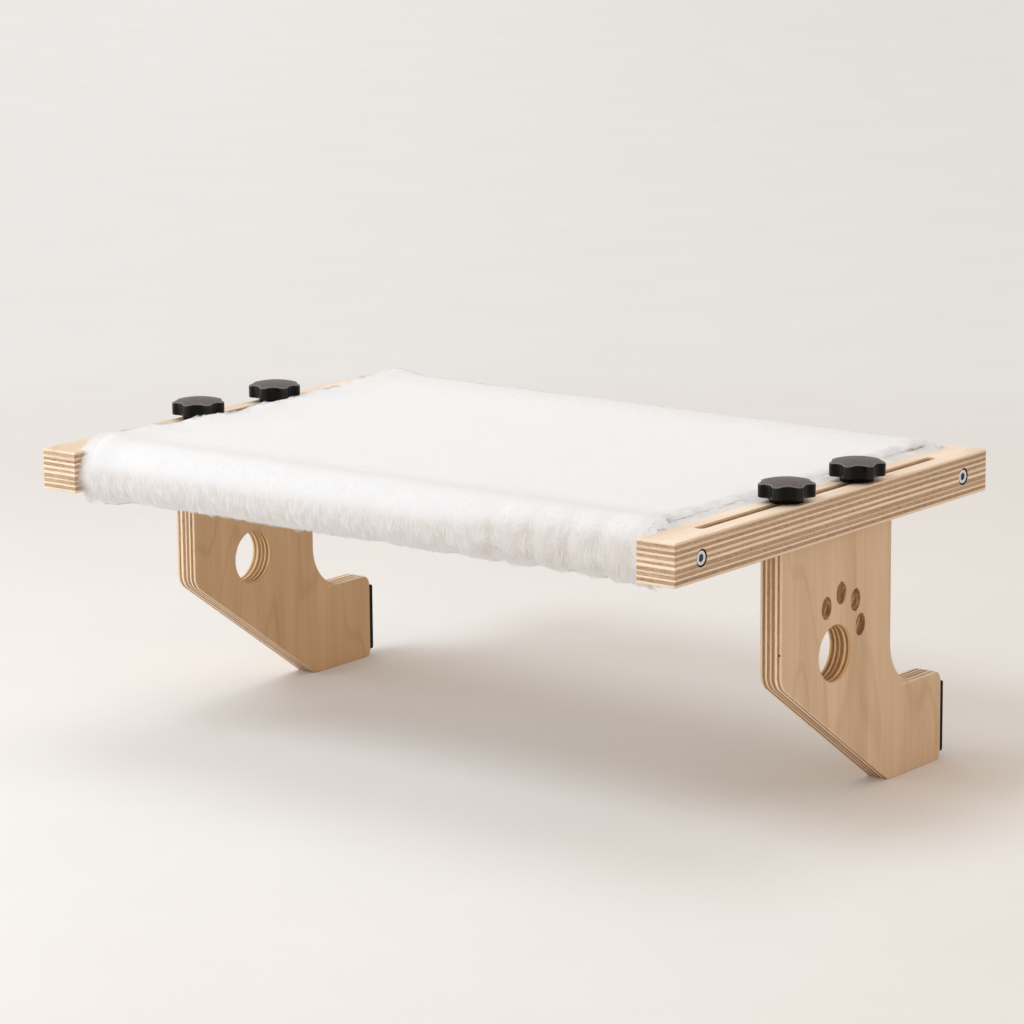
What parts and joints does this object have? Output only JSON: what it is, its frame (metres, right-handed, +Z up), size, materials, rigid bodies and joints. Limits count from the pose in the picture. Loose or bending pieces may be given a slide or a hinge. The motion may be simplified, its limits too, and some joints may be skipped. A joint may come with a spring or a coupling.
{
  "type": "cat hammock",
  "caption": "Window-sill cat hammock: a plush cover on crossbars between slotted plywood rails, with sliding hook brackets clamped by star knobs.",
  "frame": {"origin": "middle of the part seen from above, on the plane of the brackets' soles", "axes": "+Z up, +X to the right along the crossbars, -Y to the front, away from the window"},
  "size_m": [0.5676, 0.386, 0.236],
  "materials": {
    "rail_plywood": "sanded plywood, clear matt coat",
    "bracket_plywood": "sanded plywood, clear matt coat",
    "crossbar_wood": "turned, sanded",
    "insert_brass": "machined",
    "bolt_zinc": "bright zinc plated",
    "plush": "long soft pile",
    "pad_rubber": "matt",
    "stud_steel": "zinc plated thread",
    "knob_plastic": "satin moulded"
  },
  "bodies": {
    "frame": {"left_rail": "rail_plywood", "right_rail": "rail_plywood", "front_crossbar": "crossbar_wood", "rear_crossbar": "crossbar_wood", "front_left_bar_insert": "insert_brass", "front_right_bar_insert": "insert_brass", "rear_left_bar_insert": "insert_brass", "rear_right_bar_insert": "insert_brass", "front_left_bar_bolt": "bolt_zinc", "front_right_bar_bolt": "bolt_zinc", "rear_left_bar_bolt": "bolt_zinc", "rear_right_bar_bolt": "bolt_zinc", "plush_cover": "plush"},
    "left_hook": {"left_bracket": "bracket_plywood", "front_left_bracket_insert": "insert_brass", "rear_left_bracket_insert": "insert_brass", "left_wall_pad": "pad_rubber"},
    "right_hook": {"right_bracket": "bracket_plywood", "front_right_bracket_insert": "insert_brass", "rear_right_bracket_insert": "insert_brass", "right_wall_pad": "pad_rubber"},
    "front_left_screw": {"front_left_knob_stud": "stud_steel"},
    "front_left_grip": {"front_left_knob": "knob_plastic"},
    "front_right_screw": {"front_right_knob_stud": "stud_steel"},
    "front_right_grip": {"front_right_knob": "knob_plastic"},
    "rear_left_screw": {"rear_left_knob_stud": "stud_steel"},
    "rear_left_grip": {"rear_left_knob": "knob_plastic"},
    "rear_right_screw": {"rear_right_knob_stud": "stud_steel"},
    "rear_right_grip": {"rear_right_knob": "knob_plastic"}
  },
  "joints": [
    {"name": "left_bracket_slide", "type": "slide", "parent": "frame", "child": "left_hook", "axis": [0, 1, 0], "range_m": [-0.1, 0.095]},
    {"name": "right_bracket_slide", "type": "slide", "parent": "frame", "child": "right_hook", "axis": [0, 1, 0], "range_m": [-0.1, 0.095]},
    {"name": "front_left_knob_rise", "type": "slide", "parent": "left_hook", "child": "front_left_screw", "axis": [0, 0, 1], "range_m": [0, 0.012]},
    {"name": "front_left_knob_turn", "type": "hinge", "parent": "front_left_screw", "child": "front_left_grip", "pos_m": [-0.2645, -0.041, 0.22], "axis": [0, 0, 1], "range_deg": [0, 4320]},
    {"name": "front_right_knob_rise", "type": "slide", "parent": "right_hook", "child": "front_right_screw", "axis": [0, 0, 1], "range_m": [0, 0.012]},
    {"name": "front_right_knob_turn", "type": "hinge", "parent": "front_right_screw", "child": "front_right_grip", "pos_m": [0.2645, -0.041, 0.22], "axis": [0, 0, 1], "range_deg": [0, 4320]},
    {"name": "rear_left_knob_rise", "type": "slide", "parent": "left_hook", "child": "rear_left_screw", "axis": [0, 0, 1], "range_m": [0, 0.012]},
    {"name": "rear_left_knob_turn", "type": "hinge", "parent": "rear_left_screw", "child": "rear_left_grip", "pos_m": [-0.2645, 0.0465, 0.22], "axis": [0, 0, 1], "range_deg": [0, 4320]},
    {"name": "rear_right_knob_rise", "type": "slide", "parent": "right_hook", "child": "rear_right_screw", "axis": [0, 0, 1], "range_m": [0, 0.012]},
    {"name": "rear_right_knob_turn", "type": "hinge", "parent": "rear_right_screw", "child": "rear_right_grip", "pos_m": [0.2645, 0.0465, 0.22], "axis": [0, 0, 1], "range_deg": [0, 4320]}
  ],
  "couplings": [
    {"joint": "front_left_knob_rise", "follows": "front_left_knob_turn", "m_per_rad": 0.00015915},
    {"joint": "front_right_knob_rise", "follows": "front_right_knob_turn", "m_per_rad": 0.00015915},
    {"joint": "rear_left_knob_rise", "follows": "rear_left_knob_turn", "m_per_rad": 0.00015915},
    {"joint": "rear_right_knob_rise", "follows": "rear_right_knob_turn", "m_per_rad": 0.00015915}
  ]
}
